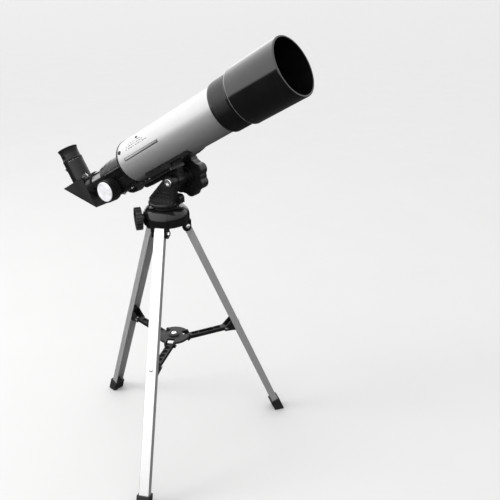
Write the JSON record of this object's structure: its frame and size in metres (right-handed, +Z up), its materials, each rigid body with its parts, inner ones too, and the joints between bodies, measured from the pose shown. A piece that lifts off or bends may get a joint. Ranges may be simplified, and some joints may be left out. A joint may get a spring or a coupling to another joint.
{
  "type": "telescope on tripod",
  "caption": "Small refracting telescope with star diagonal and rack focuser on a folding table-top tripod with a tilting, swivelling head.",
  "frame": {"origin": "on the floor, on the tripod's vertical axis about which the head swivels", "axes": "+Z up; +X is the compass direction in which the tube points, the tube being tilted 29.8 degrees above it; +Y to the side of the altitude clamp knob"},
  "size_m": [0.3679, 0.2823, 0.552],
  "materials": {
    "crown_plastic": "glossy black moulded plastic",
    "black_plastic": "satin black moulded plastic",
    "spreader_plastic": "satin black ribbed plastic",
    "shield_plastic": "glossy black plastic",
    "cell_metal": "black anodised ribbed metal",
    "tube_silver": "silver painted aluminium",
    "leg_aluminium": "bright drawn aluminium",
    "foot_rubber": "black rubber",
    "cup_rubber": "soft black rubber",
    "steel": "bright zinc plated steel",
    "chrome": "chrome plated",
    "brass": "turned brass",
    "cap_white": "bright silver white disc",
    "lens_glass": "coated optical glass",
    "mirror": "first surface mirror",
    "baffle_black": "flat black"
  },
  "bodies": {
    "crown": {"hub_crown": "crown_plastic", "leg_bolts": "steel"},
    "leg_1": {"leg_1": "leg_aluminium", "foot_1": "foot_rubber", "spreader_clip_1": "spreader_plastic", "clip_fasteners_1": "steel"},
    "arm_1": {"spreader_arm_1": "spreader_plastic"},
    "leg_2": {"leg_2": "leg_aluminium", "foot_2": "foot_rubber", "spreader_clip_2": "spreader_plastic", "clip_fasteners_2": "steel"},
    "arm_2": {"spreader_arm_2": "spreader_plastic"},
    "leg_3": {"leg_3": "leg_aluminium", "foot_3": "foot_rubber", "spreader_clip_3": "spreader_plastic", "clip_fasteners_3": "steel"},
    "arm_3": {"spreader_arm_3": "spreader_plastic"},
    "spreader": {"spreader_hub": "spreader_plastic", "spreader_screw": "steel"},
    "azimuth_knob": {"azimuth_lock_knob": "black_plastic"},
    "yoke": {"yoke": "black_plastic", "azimuth_spindle": "steel", "altitude_bolt": "steel", "clamp_sleeve": "black_plastic"},
    "altitude_knob": {"altitude_lock_knob": "black_plastic"},
    "tube": {"tilt_head": "black_plastic", "saddle": "black_plastic", "saddle_screws": "steel", "main_tube": "tube_silver", "rear_cell": "black_plastic", "tube_screws": "steel", "baffle": "baffle_black", "front_cell": "cell_metal", "flint_lens": "lens_glass", "lens_spacer": "cell_metal", "crown_lens": "lens_glass", "lens_retainer": "cell_metal", "dew_shield": "shield_plastic", "focuser_body": "black_plastic", "focuser_top_cover": "black_plastic", "pinion_cover": "black_plastic", "pinion_cover_screws": "steel"},
    "pinion": {"pinion_shaft": "brass", "focus_knobs": "black_plastic", "focus_knob_caps": "cap_white"},
    "drawtube": {"drawtube": "chrome", "drawtube_collar": "black_plastic", "drawtube_rack": "brass"},
    "drawtube_screw": {"drawtube_screw": "chrome"},
    "diagonal": {"diagonal_housing": "black_plastic", "diagonal_back": "black_plastic", "diagonal_mirror": "mirror", "diagonal_nose": "chrome", "eyepiece_holder": "black_plastic"},
    "holder_screw": {"holder_screw": "chrome"},
    "eyepiece": {"eyepiece_barrel": "chrome", "eyepiece_body": "black_plastic", "eyecup": "cup_rubber", "eyepiece_lenses": "lens_glass", "eyepiece_spacer": "baffle_black"}
  },
  "joints": [
    {"name": "leg_1_fold", "type": "hinge", "parent": "crown", "child": "leg_1", "pos_m": [0.0088, -0.02329, 0.3197], "axis": [0.9354, 0.3535, 0], "range_deg": [0, 18.4]},
    {"name": "arm_1_fold", "type": "hinge", "parent": "leg_1", "child": "arm_1", "pos_m": [0.0258, -0.06829, 0.158], "axis": [0.9354, 0.3535, 0], "range_deg": [-102, 0]},
    {"name": "leg_2_fold", "type": "hinge", "parent": "crown", "child": "leg_2", "pos_m": [0.01577, 0.01927, 0.3197], "axis": [-0.7738, 0.6334, 0], "range_deg": [0, 18.4]},
    {"name": "arm_2_fold", "type": "hinge", "parent": "leg_2", "child": "arm_2", "pos_m": [0.04624, 0.05649, 0.158], "axis": [-0.7738, 0.6334, 0], "range_deg": [-102, 0]},
    {"name": "leg_3_fold", "type": "hinge", "parent": "crown", "child": "leg_3", "pos_m": [-0.02457, 0.00402, 0.3197], "axis": [-0.1616, -0.9869, 0], "range_deg": [0, 18.4]},
    {"name": "arm_3_fold", "type": "hinge", "parent": "leg_3", "child": "arm_3", "pos_m": [-0.07204, 0.0118, 0.158], "axis": [-0.1616, -0.9869, 0], "range_deg": [-102, 0]},
    {"name": "spreader_slide", "type": "slide", "parent": "crown", "child": "spreader", "axis": [0, 0, -1], "range_m": [0, 0.0592]},
    {"name": "azimuth_turn", "type": "hinge", "parent": "crown", "child": "yoke", "pos_m": [0, 0, 0.35], "axis": [0, 0, 1], "continuous": true},
    {"name": "azimuth_clamp", "type": "hinge", "parent": "crown", "child": "azimuth_knob", "pos_m": [0, 0, 0.334], "axis": [-0.6361, -0.7716, 0], "range_deg": [0, 270]},
    {"name": "altitude_tilt", "type": "hinge", "parent": "yoke", "child": "tube", "pos_m": [0.0152, 0, 0.381], "axis": [0, -1, 0], "range_deg": [-55, 15]},
    {"name": "altitude_clamp", "type": "hinge", "parent": "yoke", "child": "altitude_knob", "pos_m": [0.0152, 0, 0.381], "axis": [0, 1, 0], "range_deg": [0, 270]},
    {"name": "drawtube_slide", "type": "slide", "parent": "tube", "child": "drawtube", "axis": [-0.8678, 0, -0.497], "range_m": [-0.022, 0.035]},
    {"name": "focus_turn", "type": "hinge", "parent": "tube", "child": "pinion", "pos_m": [-0.07107, 0, 0.36105], "axis": [0, -1, 0], "range_deg": [-264, 419]},
    {"name": "diagonal_turn", "type": "hinge", "parent": "drawtube", "child": "diagonal", "pos_m": [-0.1193, 0, 0.35451], "axis": [0.8678, 0, 0.497], "continuous": true},
    {"name": "drawtube_screw_turn", "type": "hinge", "parent": "drawtube", "child": "drawtube_screw", "pos_m": [-0.11453, 0, 0.35725], "axis": [-0.3693, -0.6691, 0.6449], "range_deg": [0, 360]},
    {"name": "eyepiece_slide", "type": "slide", "parent": "diagonal", "child": "eyepiece", "axis": [-0.497, 0, 0.8678], "range_m": [0, 0.03]},
    {"name": "holder_screw_turn", "type": "hinge", "parent": "diagonal", "child": "holder_screw", "pos_m": [-0.16398, 0, 0.37115], "axis": [-0.8678, 0, -0.497], "range_deg": [0, 360]}
  ],
  "couplings": [
    {"joint": "arm_1_fold", "follows": "leg_1_fold", "ratio": -5.5304},
    {"joint": "leg_2_fold", "follows": "leg_1_fold", "ratio": 1},
    {"joint": "arm_2_fold", "follows": "leg_1_fold", "ratio": -5.5304},
    {"joint": "leg_3_fold", "follows": "leg_1_fold", "ratio": 1},
    {"joint": "arm_3_fold", "follows": "leg_1_fold", "ratio": -5.5304},
    {"joint": "spreader_slide", "follows": "leg_1_fold", "m_per_rad": 0.18373},
    {"joint": "focus_turn", "follows": "drawtube_slide", "rad_per_m": 208.33}
  ]
}
